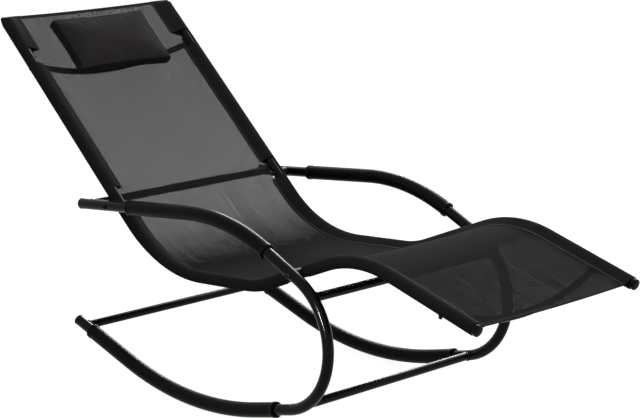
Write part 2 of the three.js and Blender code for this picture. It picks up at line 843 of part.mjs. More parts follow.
function addPillow() {
  const station = onRail(pillowFromHead);
  const stripEdge = (stripSpacing + stripWidth) / 2;
  const stripFloor = panelHeight(stripEdge) + panelThickness / 2 + seatGap;
  const strip = new THREE.BoxGeometry(stripWidth, stripLength, stripThickness);
  strip.translate(0, 0, stripFloor + stripThickness / 2);
  const pillow = pillowForm().translate(0, 0, stripFloor + stripThickness + seatGap);
  addFitting('pillow', pillow, pillowCloth, rail, station);
  for (const { side, way } of sides) {
    addFitting(`pillow_strip_${side}`, strip.clone(), hemCloth, rail, station, (way * stripSpacing) / 2);
  }
}

addBows();
addCrossTubes();
addSeatFrame();
addBoltedJoints();
addSling();
addPillow();

// Stand the chair on the floor with the origin below its middle
chassis.updateMatrixWorld(true);
const box = new THREE.Box3().setFromObject(chassis, true);
chassis.position.set(0, -(box.min.y + box.max.y) / 2, -box.min.z);

export default chair;
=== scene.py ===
import json
import math
import random

import bmesh
import bpy
from mathutils import Matrix, Vector, noise


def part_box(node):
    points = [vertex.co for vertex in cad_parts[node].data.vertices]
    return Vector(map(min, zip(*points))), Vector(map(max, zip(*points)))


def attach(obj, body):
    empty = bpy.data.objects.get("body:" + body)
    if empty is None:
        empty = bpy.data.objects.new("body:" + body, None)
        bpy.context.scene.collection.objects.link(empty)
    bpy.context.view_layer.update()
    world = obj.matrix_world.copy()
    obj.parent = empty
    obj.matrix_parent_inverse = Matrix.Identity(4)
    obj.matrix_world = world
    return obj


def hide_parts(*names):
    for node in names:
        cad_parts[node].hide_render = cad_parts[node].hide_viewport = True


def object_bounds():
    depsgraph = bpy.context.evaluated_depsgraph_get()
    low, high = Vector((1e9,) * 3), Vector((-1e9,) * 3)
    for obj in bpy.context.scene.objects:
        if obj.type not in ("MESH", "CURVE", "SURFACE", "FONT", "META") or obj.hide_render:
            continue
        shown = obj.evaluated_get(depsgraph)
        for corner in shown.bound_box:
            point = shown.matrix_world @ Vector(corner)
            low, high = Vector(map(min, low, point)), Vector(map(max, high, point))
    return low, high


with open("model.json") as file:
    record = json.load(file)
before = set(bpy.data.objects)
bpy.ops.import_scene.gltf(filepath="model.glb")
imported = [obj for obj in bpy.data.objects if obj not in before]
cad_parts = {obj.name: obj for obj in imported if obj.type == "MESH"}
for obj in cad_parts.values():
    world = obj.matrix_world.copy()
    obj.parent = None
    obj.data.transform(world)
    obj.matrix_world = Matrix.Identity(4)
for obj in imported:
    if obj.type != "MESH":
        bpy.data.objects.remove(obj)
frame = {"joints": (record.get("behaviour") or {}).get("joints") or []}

cad_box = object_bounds()

# Camera
# The photograph's own view, with a long lens: from the chair's foot end and its right-hand side, a
# little above the armrests. Its place and lens come from the tubes' known sizes in the photograph.
camera_place = (-3.0714, -3.2927, 1.4661)
camera_azimuth = -43.72
camera_elevation = 13.01
camera = bpy.data.objects.new("camera", bpy.data.cameras.new("camera"))
camera.data.sensor_width = 36
camera.data.lens = 110.585
camera.location = camera_place
camera.rotation_euler = (math.radians(90 - camera_elevation), 0, math.radians(camera_azimuth))
bpy.context.scene.collection.objects.link(camera)
bpy.context.scene.camera = camera
bpy.context.scene.view_settings.view_transform = "Standard"


# Studio
# A pale seamless floor and a white surround. The large soft lamp hangs beyond the chair, so what faces
# the camera stays dark, and narrow lamps draw the bright lines on the tubes.
def node(tree, kind, inputs=None, **settings):
    made = tree.nodes.new(kind)
    for key, value in settings.items():
        setattr(made, key, value)
    for key, value in (inputs or {}).items():
        if isinstance(value, bpy.types.NodeSocket):
            tree.links.new(value, made.inputs[key])
        else:
            made.inputs[key].default_value = value
    return made


def maths(tree, operation, *values):
    return node(tree, "ShaderNodeMath", dict(enumerate(values)), operation=operation).outputs[0]


def seen_directly(tree):
    """1 for what the lens, a mirror or glass sees, and 0 for light that falls on a surface"""
    path = node(tree, "ShaderNodeLightPath").outputs
    seen = maths(tree, "MAXIMUM", path["Is Camera Ray"], path["Is Glossy Ray"])
    return maths(tree, "MAXIMUM", seen, path["Is Transmission Ray"])


def blank_material(name):
    material = bpy.data.materials.new(name)
    material.use_nodes = True
    material.node_tree.nodes.clear()
    return material, material.node_tree


def soft_lamp(name, place, aim, size, power, line_only=0):
    """An area lamp; one for a line, of so many degrees, shows in gloss and adds no light to matt surfaces"""
    lamp = bpy.data.objects.new(name, bpy.data.lights.new(name, "AREA"))
    lamp.data.shape = "RECTANGLE"
    lamp.data.size, lamp.data.size_y = size
    lamp.data.energy = power
    lamp.visible_diffuse = not line_only
    lamp.data.spread = math.radians(line_only or 180)
    lamp.location = place
    lamp.rotation_euler = (Vector(aim) - Vector(place)).to_track_quat("-Z", "Y").to_euler()
    bpy.context.scene.collection.objects.link(lamp)


surround_light = 0.47
world = bpy.data.worlds.new("surround")
world.use_nodes = True
world.node_tree.nodes.clear()
surround = maths(world.node_tree, "MAXIMUM", seen_directly(world.node_tree), surround_light)
backdrop = node(world.node_tree, "ShaderNodeBackground", {"Color": (1, 1, 1, 1), "Strength": surround})
node(world.node_tree, "ShaderNodeOutputWorld", {"Surface": backdrop.outputs[0]})
bpy.context.scene.world = world

soft_lamp("main", (2.6, 0.7, 2.75), (0, 0, 0.3), (2.4, 2.4), 86)
soft_lamp("behind", (2.2, 2.6, 2.4), (0, 0, 0.4), (3.0, 0.5), 20)
soft_lamp("edge_line", (3.3, 2.6, 1.9), (0, 0, 0.4), (1.6, 0.5), 24, line_only=90)
soft_lamp("beside", (-3.5, -1.45, 1.2), (-0.3, -0.4, 0.3), (0.12, 1.4), 14, line_only=22)

floor_reach = 30
floor_drop = 0.0015
floor_grey = 0.20
floor_glow = 0.95
floor_mesh = bpy.data.meshes.new("floor")
floor_mesh.from_pydata([(x * floor_reach, y * floor_reach, cad_box[0][2] - floor_drop)
                        for x, y in ((-1, -1), (1, -1), (1, 1), (-1, 1))], [], [(0, 1, 2, 3)])
floor = bpy.data.objects.new("floor", floor_mesh)
bpy.context.scene.collection.objects.link(floor)
floor_finish, tree = blank_material("pale_floor")
matte = node(tree, "ShaderNodeBsdfDiffuse", {"Color": (floor_grey, floor_grey, floor_grey, 1)})
glow_share = maths(tree, "MULTIPLY", seen_directly(tree), floor_glow)
glow = node(tree, "ShaderNodeEmission", {"Color": (1, 1, 1, 1), "Strength": glow_share})
lit = node(tree, "ShaderNodeAddShader", {0: matte.outputs[0], 1: glow.outputs[0]})
node(tree, "ShaderNodeOutputMaterial", {"Surface": lit.outputs[0]})
floor_mesh.materials.append(floor_finish)


# Side bows
# Each is one round steel tube, 25.4 mm across and powder coated black: bent into the armrest, the
# round front and the runner that rocks on the floor.
def bend(start, heading, legs, step=math.radians(1.5)):
    """(distance, y, z, heading) along a bent tube: a straight is (length,), an arc (radius, degrees)"""
    stations = [(0.0, start[0], start[1], heading)]
    for leg in legs:
        s, y, z, h = stations[-1]
        if len(leg) == 1:
            stations.append((s + leg[0], y + leg[0] * math.cos(h), z + leg[0] * math.sin(h), h))
            continue
        radius, turn = leg[0], math.radians(leg[1])
        way = math.copysign(1, turn)
        count = math.ceil(abs(turn) / step)
        for i in range(1, count + 1):
            a = turn * i / count
            stations.append((s + radius * abs(a),
                             y + way * radius * (math.sin(h + a) - math.sin(h)),
                             z - way * radius * (math.cos(h + a) - math.cos(h)), h + a))
    return stations


def at(path, s):
    """(y, z, heading) at a distance along a path"""
    i = 1
    while i < len(path) - 1 and path[i][0] < s:
        i += 1
    a, b = path[i - 1], path[i]
    t = (s - a[0]) / (b[0] - a[0])
    return tuple(a[k] + t * (b[k] - a[k]) for k in (1, 2, 3))


def spot(path, s, x, up=0.0):
    """A point beside a path: x is the chair's X, up is square to the path on its upper side"""
    y, z, h = at(path, s)
    return Vector((x, y + up * math.sin(h), z - up * math.cos(h)))


def around(count):
    """Angles in even steps round a full turn"""
    return [2 * math.pi * i / count for i in range(count)]


def stretch(path, start, end, most=0.02):
    """Distances from start to end, with the path's own stations between them"""
    marks = [start] + [p[0] for p in path if start + 1e-6 < p[0] < end - 1e-6] + [end]
    full = []
    for a, b in zip(marks, marks[1:]):
        count = max(1, math.ceil((b - a) / most))
        full += [a + (b - a) * i / count for i in range(count)]
    return full + [end]


def growing_tree(name, **inputs):
    """A Geometry Nodes tree with the inputs Line and Finish, and others named with their type"""
    tree = bpy.data.node_groups.new(name, "GeometryNodeTree")
    tree.is_modifier = True
    for label, kind in {"Line": "Geometry", **inputs, "Finish": "Material"}.items():
        tree.interface.new_socket(label, in_out="INPUT", socket_type=f"NodeSocket{kind}")
    tree.interface.new_socket("Geometry", in_out="OUTPUT", socket_type="NodeSocketGeometry")
    given = node(tree, "NodeGroupInput").outputs
    return tree, given, node(tree, "GeometryNodeMeshToCurve", {"Mesh": given["Line"]}).outputs[0]


def grown_out(tree, form, material):
    """The end of such a tree: real geometry with its material"""
    form = node(tree, "GeometryNodeRealizeInstances", {"Geometry": form}).outputs[0]
    form = node(tree, "GeometryNodeSetMaterial", {"Geometry": form, "Material": material}).outputs[0]
    node(tree, "NodeGroupOutput", {"Geometry": form})
    return tree


def rounds_tree():
    """Sweeps a round section, as wide as the attribute reach says, along each line"""
    tree, given, line = growing_tree("round_on_line", Sides="Int")
    reach = node(tree, "GeometryNodeInputNamedAttribute", {"Name": "reach"}, data_type="FLOAT").outputs[0]
    ring = node(tree, "GeometryNodeCurvePrimitiveCircle", {"Resolution": given["Sides"], "Radius": 1.0})
    body = node(tree, "GeometryNodeCurveToMesh",
                {"Curve": line, "Profile Curve": ring.outputs[0], "Scale": reach, "Fill Caps": True})
    return grown_out(tree, body.outputs[0], given["Finish"])


def grown(name, start, tree, **inputs):
    """An object whose mesh a Geometry Nodes tree makes from a starting mesh"""
    piece = bpy.data.objects.new(name, start)
    bpy.context.scene.collection.objects.link(piece)
    modifier = piece.modifiers.new("grow", "NODES")
    modifier.node_group = tree
    for item in tree.interface.items_tree:
        if item.in_out == "INPUT" and item.name in inputs:
            modifier[item.identifier] = inputs[item.name]
    return baked(piece)


def baked(piece, crease=35):
    """Turns a piece with its modifiers into a plain smooth mesh with its hard edges kept"""
    seen = piece.evaluated_get(bpy.context.evaluated_depsgraph_get())
    mesh = bpy.data.meshes.new_from_object(seen)
    piece.modifiers.clear()
    piece.data = mesh
    mesh.shade_smooth()
    mesh.set_sharp_from_angle(angle=math.radians(crease))
    for name in [a.name for a in mesh.attributes if a.name == "reach"]:
        mesh.attributes.remove(mesh.attributes[name])
    return piece


def lines_mesh(lines):
    """A mesh of lines, each ([points], [reach at each point], closed)"""
    points, edges, reach = [], [], []
    for places, widths, closed in lines:
        first = len(points)
        points += places
        reach += widths
        edges += [(i, i + 1) for i in range(first, len(points) - 1)]
        if closed:
            edges.append((len(points) - 1, first))
    mesh = bpy.data.meshes.new("lines")
    mesh.from_pydata(points, edges, [])
    mesh.attributes.new("reach", "FLOAT", "POINT").data.foreach_set("value", reach)
    return mesh


def settle(piece, body, slot, *nodes):
    """Says which body a piece moves with and hides the solids that it stands for; its slot is not used"""
    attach(piece, body)
    if nodes:
        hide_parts(*nodes)


def speckle(tree, where, scale, detail=2.0):
    return node(tree, "ShaderNodeTexNoise", {"Vector": where, "Scale": scale, "Detail": detail}).outputs[0]


def ranged(tree, share, low, high):
    return node(tree, "ShaderNodeMapRange", {"Value": share, "To Min": low, "To Max": high}).outputs[0]


def blend(tree, share, dark, light):
    """A colour between two, each given as red, green and blue"""
    ends = {6: (*dark, 1), 7: (*light, 1)}
    return node(tree, "ShaderNodeMix", {"Factor": share, **ends}, data_type="RGBA").outputs[2]


def raised(tree, height, strength, depth):
    values = {"Height": height, "Strength": strength, "Distance": depth}
    return node(tree, "ShaderNodeBump", values).outputs[0]


def solid(tree, colour, rough, gloss, **others):
    """The main shader. The others are named after its sockets, with _ for each space"""
    values = {"Base Color": colour, "Roughness": rough, "Specular IOR Level": gloss}
    values |= {key.replace("_", " "): value for key, value in others.items()}
    return node(tree, "ShaderNodeBsdfPrincipled", values).outputs[0]


def on_object(name):
    """A new material, its tree and the coordinates that lie fixed on the object, in metres"""
    material, tree = blank_material(name)
    return material, tree, node(tree, "ShaderNodeTexCoord").outputs["Object"]


def finish(material, shader):
    node(material.node_tree, "ShaderNodeOutputMaterial", {"Surface": shader})
    return material


def powder_coat():
    material, tree, where = on_object("powder_coat")
    cloudy = speckle(tree, where, 14.0, 4.0)
    shade = blend(tree, cloudy, (0.0055, 0.0050, 0.0055), (0.0090, 0.0083, 0.0090))
    peel = raised(tree, speckle(tree, where, 700.0), 0.25, 0.00005)
    return finish(material, solid(tree, shade, ranged(tree, cloudy, 0.14, 0.19), 0.07, Normal=peel))


round_on_line = rounds_tree()
black_steel = powder_coat()
tube_sides = 36
bow_radius = 0.0127
bow_x = (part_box("bow_left")[0][0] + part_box("bow_left")[1][0]) / 2
arm_heading = math.radians(180 - 6.3)
back_bar_on_bow = 0.026
bow_legs = [(0.397,), (0.507, 30.2), (0.113,), (0.159, 142.2), (0.121,), (0.832, 31.2), (0.203,)]
bar_low, bar_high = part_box("cross_tube_back")
bow_start = ((bar_low[1] + bar_high[1]) / 2 - back_bar_on_bow * math.cos(arm_heading),
             (bar_low[2] + bar_high[2]) / 2 - back_bar_on_bow * math.sin(arm_heading))
bow = bend(bow_start, arm_heading, bow_legs)
bow_length = bow[-1][0]
hands = [("left", 1), ("right", -1)]


def rounds(name, lines, material, sides=tube_sides):
    """A piece that is round in section along each of its lines"""
    return grown(name, lines_mesh(lines), round_on_line, Sides=sides, Finish=material)


def even_line(points, reach, closed=False):
    return points, [reach] * len(points), closed


def tube_line(path, start, end, x, radius):
    return even_line([spot(path, s, x) for s in stretch(path, start, end)], radius)


for side, way in hands:
    tube = rounds(f"bow_tube_{side}", [tube_line(bow, 0, bow_length, way * bow_x, bow_radius)], black_steel)
    settle(tube, "chair", "frame_steel", f"bow_{side}")


# Sleeves
# Satin black plastic sleeves moulded with a raised lip at each end. They slide over the armrests as
# grips, and over the runners to spare the floor.
def moulded_grip():
    material, tree, where = on_object("moulded_grip")
    worn = speckle(tree, where, 22.0, 5.0)
    shade = blend(tree, worn, (0.0072, 0.0064, 0.0072), (0.0110, 0.0100, 0.0110))
    grain = raised(tree, speckle(tree, where, 1500.0, 3.0), 0.3, 0.00005)
    return finish(material, solid(tree, shade, ranged(tree, worn, 0.28, 0.36), 0.03, Normal=grain))


grip_plastic = moulded_grip()
sleeve_radius = 0.0173
lip_rise = 0.001
lip_length = 0.009
lip_ease = 0.0006
edge_round = 0.0012
sleeve_runs = {"arm": (0.184, 0.670), "runner": (1.215, bow_length - 0.054)}


def sleeve_line(start, end, x):
    """Stations of a sleeve, with rounded ends, a lip and a soft step down from it at each end"""
    lip = sleeve_radius + lip_rise
    inside = bow_radius - 0.0005
    near_end = [(0.0, inside), (0.00005, lip - edge_round)]
    near_end += [(edge_round * (1 - math.cos(a)), lip - edge_round * (1 - math.sin(a)))
                 for a in (math.radians(30), math.radians(60), math.radians(90))]
    near_end += [(lip_length - lip_ease, lip), (lip_length, lip - lip_ease / 2),
                 (lip_length + lip_ease, sleeve_radius)]
    marks = [(start + d, r) for d, r in near_end]
    marks += [(s, sleeve_radius) for s in stretch(bow, start + 0.012, end - 0.012)]
    marks += [(end - d, r) for d, r in reversed(near_end)]
    return [spot(bow, s, x) for s, r in marks], [r for s, r in marks], False


for side, way in hands:
    for name, (start, end) in sleeve_runs.items():
        line = sleeve_line(start, end, way * bow_x)
        grip = rounds(f"{name}_grip_{side}", [line], grip_plastic, tube_sides + 12)
        settle(grip, "chair", "sleeve_plastic", f"{name}_sleeve_{side}")


# Seat rails
# Two round steel tubes of the same 25.4 mm size, bent to the lounging shape. They hang on the bows by
# two bolts each, so their place follows from the bow and from the line that the pillow slides along.
rail_radius = 0.0127
rail_x = (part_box("rail_left")[0][0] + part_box("rail_left")[1][0]) / 2
back_bolt_on_bow = 0.103
front_bolt_on_bow = 0.758
back_bolt_on_rail = 0.600
slide_way = frame["joints"][0]["axis"]
rail_heading = math.atan2(slide_way[2], slide_way[1])
rail_legs = [(0.663,), (0.333, -46.35), (0.157,), (0.236, -18), (0.198,), (0.293, 37.9), (0.254,)]
back_bolt = at(bow, back_bolt_on_bow)
front_bolt = at(bow, front_bolt_on_bow)
rail_start = (back_bolt[0] - back_bolt_on_rail * math.cos(rail_heading),
              back_bolt[1] - back_bolt_on_rail * math.sin(rail_heading))
rail = bend(rail_start, rail_heading, rail_legs)
rail_length = rail[-1][0]
rail_hidden_start = 0.010
middle_of_rail = [mark / 2000 for mark in range(1600, 3000)]
front_bolt_on_rail = min(middle_of_rail, key=lambda s: math.dist(front_bolt[:2], at(rail, s)[:2]))

for side, way in hands:
    line = tube_line(rail, rail_hidden_start, rail_length, way * rail_x, rail_radius)
    tube = rounds(f"rail_tube_{side}", [line], black_steel)
    settle(tube, "chair", "frame_steel", f"rail_{side}")


# Tube ends
# Glossy black plastic plugs, pressed into the tubes: a thin flange with a low dome. The head plugs
# sit out of sight in the sling's closed pockets.
def gloss_plastic():
    material, tree, where = on_object("gloss_plastic")
    flow = speckle(tree, where, 60.0, 3.0)
    skin = raised(tree, flow, 0.15, 0.0002)
    rough = ranged(tree, flow, 0.12, 0.20)
    return finish(material, solid(tree, (0.010, 0.0093, 0.010, 1), rough, 0.05, Normal=skin))


cap_plastic = gloss_plastic()
cap_rise = 0.0006
cap_flange = 0.002
cap_dome = 0.005
plug_flange = 0.0008
plug_dome = 0.0025
stem_reach = 0.006
stem_inset = 0.0016


def cap_line(path, s, way, x, radius, flange, dome):
    """A plug at a tube's end: from inside the tube, over the flange's round edge, to the dome's tip"""
    y, z, h = at(path, s)
    out = Vector((0, way * math.cos(h), way * math.sin(h)))
    shape = [(-stem_reach, radius - stem_inset), (0.0002, radius - stem_inset),
             (0.00025, radius - 0.0003), (0.0006, radius)]
    shape += [(flange + (dome - flange) * math.sin(a), radius * math.cos(a) + 1e-5)
              for a in (math.radians(d) for d in range(0, 91, 10))]
    base = Vector((x, y, z))
    return [base + out * d for d, r in shape], [r for d, r in shape], False


for side, way in hands:
    ends = [
        ("arm_cap", bow, 0, -1, bow_x, bow_radius + cap_rise, cap_flange, cap_dome),
        ("runner_cap", bow, bow_length, 1, bow_x, bow_radius + cap_rise, cap_flange, cap_dome),
        ("head_plug", rail, rail_hidden_start, -1, rail_x, rail_radius, plug_flange, plug_dome),
        ("foot_cap", rail, rail_length, 1, rail_x, rail_radius, cap_flange, cap_dome),
    ]
    for name, path, s, outward, x, *size in ends:
        cap = rounds(f"{name}_dome_{side}", [cap_line(path, s, outward, way * x, *size)], cap_plastic)
        settle(cap, "chair", "cap_plastic", f"{name}_{side}")


# Cross tubes
# Four straight 20 mm tubes join the bows. Their ends are coped to the bows and welded all round, and
# each weld shows as a low rippled bead under the powder coat.
cross_radius = 0.010
cross_overlap = 0.005
bead_radius = 0.0021
bead_lift = 0.0002
bead_scatter = 0.08
bead_ripple = 0.16
bead_ripples = 34
bead_steps = 4 * bead_ripples
bead_sides = 10


def bead_line(path, s, x, way, draws):
    """The weld where a cross tube meets a bow: it follows the line in which the two tubes cross"""
    y, z, h = at(path, s)
    along = Vector((0, math.cos(h), math.sin(h)))
    upper = Vector((0, math.sin(h), -math.cos(h)))
    points, widths = [], []
    for a in around(bead_steps):
        seat = math.sqrt(bow_radius ** 2 - (cross_radius * math.sin(a)) ** 2)
        centre = Vector((x - way * (seat + bead_lift), y, z))
        points.append(centre + (along * math.cos(a) + upper * math.sin(a)) * (cross_radius + bead_lift))
        ripple = bead_ripple * math.sin(bead_ripples * a)
        widths.append(bead_radius * (1 + ripple + draws.uniform(-bead_scatter, bead_scatter)))
    return points, widths, True


weld_draws = random.Random(7)
cross_places = {"back": back_bar_on_bow, "knee": 0.834, "front": 1.168, "rear": bow_length - 0.028}
for name, s in cross_places.items():
    ends = [spot(bow, s, way * (bow_x - cross_overlap)) for way in (-1, 1)]
    tube = rounds(f"cross_bar_{name}", [even_line(ends, cross_radius)], black_steel)
    settle(tube, "chair", "frame_steel", f"cross_tube_{name}")
    beads = [bead_line(bow, s, way * bow_x, way, weld_draws) for side, way in hands]
    weld = rounds(f"weld_beads_{name}", beads, black_steel, bead_sides)
    settle(weld, "chair", "frame_steel")


# Spreaders and their saddles
# Two bowed 16 mm tubes hold the rails apart, behind the head and under the calves. Each end is welded
# to a saddle, a plate formed round the rail from below to its inner side.
spreader_radius = 0.008
spreader_drop = 0.006
spreader_sag = 0.062
spreader_trim = 0.010
spreader_steps = 48
saddle_inner = rail_radius + 0.0003
saddle_wall = 0.0025
saddle_length = 0.034
saddle_corner = 0.006
saddle_edge_round = 0.0006
saddle_from = math.radians(165)
saddle_to = math.radians(285)
saddle_turns, saddle_rows = 16, 12
upper_on_rail = 0.141
lower_on_rail = 1.701
spreader_places = {"upper": (upper_on_rail, 4), "lower": (lower_on_rail, 12)}


def fitting_frame(path, s, x=0.0):
    """Stands a fitting on a path: its -Y follows the path and its +Z is the upper side"""
    y, z, h = at(path, s)
    return Matrix.Translation((x, y, z)) @ Matrix.Rotation(h - math.pi, 4, "X")


def spreader_points(lean):
    """The spreader's centre line in its fitting's frame: an arc that hangs below the rails"""
    chord = (rail_x ** 2 + spreader_sag ** 2) / (2 * spreader_sag)
    half = math.asin(rail_x / chord)
    ends = half * (1 - spreader_trim / rail_x)
    points = []
    for i in range(spreader_steps + 1):
        a = -ends + 2 * ends * i / spreader_steps
        drop = spreader_drop + chord * (math.cos(a) - math.cos(half))
        points.append(Vector((chord * math.sin(a), 0, -drop)))
    turn = Matrix.Rotation(-math.radians(lean), 4, "X")
    return [turn @ p for p in points]


def meshed(form, name):
    mesh = bpy.data.meshes.new(name)
    form.to_mesh(mesh)
    form.free()
    return mesh


def new_piece(name, mesh, material=None):
    if material:
        mesh.materials.append(material)
    piece = bpy.data.objects.new(name, mesh)
    bpy.context.scene.collection.objects.link(piece)
    return piece


def plated(piece, thickness, offset, edge, steps):
    """Gives a sheet its thickness and rounds its edges"""
    wall = piece.modifiers.new("wall", "SOLIDIFY")
    wall.thickness, wall.offset = thickness, offset
    soft = piece.modifiers.new("edges", "BEVEL")
    soft.width, soft.segments = edge, steps
    baked(piece)


def saddle_mesh(way):
    """The plate's inner face as a grid with rounded corners, in the fitting's frame"""
    grid = bmesh.new()
    arc = saddle_inner * (saddle_to - saddle_from)
    verts = {}
    for i in range(saddle_turns + 1):
        for j in range(saddle_rows + 1):
            u = arc * (i / saddle_turns - 0.5)
            v = saddle_length * (j / saddle_rows - 0.5)
            over_u = abs(u) - (arc / 2 - saddle_corner)
            over_v = abs(v) - (saddle_length / 2 - saddle_corner)
            if over_u > 0 and over_v > 0:
                scale = max(over_u, over_v) / math.hypot(over_u, over_v)
                u = math.copysign(arc / 2 - saddle_corner + over_u * scale, u)
                v = math.copysign(saddle_length / 2 - saddle_corner + over_v * scale, v)
            a = (saddle_from + saddle_to) / 2 + u / saddle_inner
            verts[i, j] = grid.verts.new((way * saddle_inner * math.cos(a), v, saddle_inner * math.sin(a)))
    for i in range(saddle_turns):
        for j in range(saddle_rows):
            grid.faces.new([verts[i, j], verts[i + 1, j], verts[i + 1, j + 1], verts[i, j + 1]])
    bmesh.ops.recalc_face_normals(grid, faces=grid.faces)
    if grid.faces[0].normal.dot(grid.faces[0].calc_center_median()) < 0:
        bmesh.ops.reverse_faces(grid, faces=grid.faces)
    return meshed(grid, "saddle")


for name, (s, lean) in spreader_places.items():
    stand = fitting_frame(rail, s)
    line = even_line([stand @ p for p in spreader_points(lean)], spreader_radius)
    tube = rounds(f"spreader_tube_{name}", [line], black_steel)
    settle(tube, "chair", "frame_steel", f"spreader_{name}")
    for side, way in hands:
        plate = new_piece(f"saddle_plate_{name}_{side}", saddle_mesh(way), black_steel)
        plated(plate, saddle_wall, 1, saddle_edge_round, 2)
        plate.data.transform(fitting_frame(rail, s, way * rail_x))
        settle(plate, "chair", "frame_steel", f"saddle_{name}_{side}")


# Screws, bolts, nuts and spacers
# Blackened fasteners: two button-head screws hold each saddle, and four bolts with cap nuts carry the
# seat frame, each through a plastic spacer; on the chair it is hollowed at both ends to fit the tubes, here
# its plain ends reach into both.
def blackened_steel():
    material, tree, where = on_object("blackened_steel")
    mottle = speckle(tree, where, 260.0, 4.0)
    shade = blend(tree, mottle, (0.006, 0.0057, 0.006), (0.014, 0.0135, 0.0145))
    return finish(material, solid(tree, shade, ranged(tree, mottle, 0.40, 0.55), 0.04, Metallic=0.3))


dark_metal = blackened_steel()


def turned_mesh(profile, sides):
    """A turned piece along +Z from (radius, height, corners) rows: corners 6 gives a hexagon, 0 a round"""
    form = bmesh.new()
    rings = []
    for radius, height, corners in profile:
        if radius == 0:
            rings.append([form.verts.new((0, 0, height))] * sides)
            continue
        ring = []
        for a in around(sides):
            r = radius
            if corners:
                part = math.pi / corners
                r = radius * math.cos(part) / math.cos((a + part) % (2 * part) - part)
            ring.append(form.verts.new((r * math.cos(a), r * math.sin(a), height)))
        rings.append(ring)
    for a, b in zip(rings, rings[1:]):
        for i in range(sides):
            j = (i + 1) % sides
            corners = [a[i], a[j], b[j], b[i]]
            face = [v for k, v in enumerate(corners) if v not in corners[:k]]
            form.faces.new(face)
    bmesh.ops.recalc_face_normals(form, faces=form.faces)
    return meshed(form, "turned")


def dome_rows(radius, low, high, rim=0.0):
    """Rows of a low dome from its rim height up to its top, without the pole"""
    return [(radius * math.cos(a), low + rim + (high - low - rim) * math.sin(a), 0)
            for a in (math.radians(d) for d in (0, 18, 36, 54, 66))]


def button_head(shank, reach, radius, height, socket):
    """A screw or bolt with a domed head that has a hexagon socket, standing on z nought"""
    return [(0, -reach, 0), (shank, -reach, 0), (shank, 0, 0), (radius * 0.97, 0, 0),
            *dome_rows(radius, 0, height, height * 0.2), (socket * 1.15, height * 0.985, 0),
            (socket, height * 0.96, 6), (socket, height * 0.45, 6), (0, height * 0.40, 0)]


def turned_piece(name, profile, sides, stand, material, slot, cad_node):
    piece = new_piece(name, turned_mesh(profile, sides), material)
    baked(piece, 32)
    piece.data.transform(stand)
    settle(piece, "chair", slot, cad_node)


screw_seat = saddle_inner + saddle_wall
screw_shift = 0.009
screw_places = (("under", -90, -screw_shift), ("inner", 180, screw_shift))
screw_rows = {
    "inner": button_head(0.0025, 0.006, 0.005, 0.0032, 0.0016),
    "under": [(0, -0.006, 0), (0.0025, -0.006, 0), (0.0025, 0, 0), (0.0049, 0, 0), (0.0050, 0.0003, 0),
              (0.0050, 0.0012, 0), (0.0044, 0.0014, 6), (0.0044, 0.0056, 6), (0.0040, 0.0062, 0),
              *dome_rows(0.0037, 0.0062, 0.0080), (0, 0.0080, 0)],
}
for name, (s, lean) in spreader_places.items():
    for place, angle, shift in screw_places:
        for side, way in hands:
            a = math.radians(angle)
            out = Vector((way * math.cos(a), 0, math.sin(a)))
            on_plate = Matrix.Translation(out * screw_seat + Vector((0, shift, 0)))
            turned = out.to_track_quat("Z", "Y").to_matrix().to_4x4()
            stand = fitting_frame(rail, s, way * rail_x) @ on_plate @ turned
            turned_piece(f"saddle_screw_{name}_{place}_{side}", screw_rows[place], 24, stand, dark_metal,
                         "fastener_steel", f"screw_{name}_{place}_{side}")

bolt_rows = button_head(0.004, 0.006, 0.0075, 0.0048, 0.0025)
nut_rows = [(0, -0.003, 0), (0.004, -0.003, 0), (0.004, 0, 0), (0.0062, 0, 0), (0.0065, 0.0006, 6),
            (0.0065, 0.0054, 6), (0.0056, 0.0060, 0), *dome_rows(0.0052, 0.0060, 0.0090), (0, 0.0090, 0)]
spacer_radius = 0.0110
spacer_length = 0.0252
spacer_edge = 0.0002
spacer_from_rail = 0.0054
spacer_face = spacer_radius - spacer_edge
spacer_rows = [(0, 0, 0), (spacer_face, 0, 0), (spacer_radius, spacer_edge, 0),
               (spacer_radius, spacer_length - spacer_edge, 0), (spacer_face, spacer_length, 0),
               (0, spacer_length, 0)]
bolt_bite = 0.0001
for name, place in (("back", back_bolt), ("front", front_bolt)):
    for side, way in hands:
        out = Matrix.Rotation(way * math.pi / 2, 4, "Y")
        inward = Matrix.Rotation(-way * math.pi / 2, 4, "Y")
        head_seat = Matrix.Translation((way * (bow_x + bow_radius - bolt_bite), *place[:2]))
        nut_seat = Matrix.Translation((way * (rail_x - rail_radius + bolt_bite), *place[:2]))
        bush_seat = Matrix.Translation((way * (rail_x + spacer_from_rail), *place[:2]))
        turned_piece(f"bolt_head_{name}_{side}", bolt_rows, 30, head_seat @ out, dark_metal,
                     "fastener_steel", f"bolt_{name}_{side}")
        turned_piece(f"cap_nut_{name}_{side}", nut_rows, 30, nut_seat @ inward, dark_metal,
                     "fastener_steel", f"nut_{name}_{side}")
        turned_piece(f"bush_{name}_{side}", spacer_rows, 36, bush_seat @ out, grip_plastic,
                     "cap_plastic", f"spacer_{name}_{side}")


# Sling panel
# The sitter lies on one sheet of coated open-weave textile, stretched between the rails. Its yarns
# have some depth, as a face, a core and a back: light passes the holes square on, and not at a slant.
def on_cloth(name):
    """A new material, its tree and the UV map, which is in metres over the flat cloth"""
    material, tree = blank_material(name)
    return material, tree, node(tree, "ShaderNodeUVMap", uv_map="UVMap").outputs[0]


def drawn_out(tree, place, across, along):
    """Coordinates in so many units to the metre across the cloth and along it"""
    return node(tree, "ShaderNodeMapping", {"Vector": place, "Scale": (across, along, 1.0)}).outputs[0]


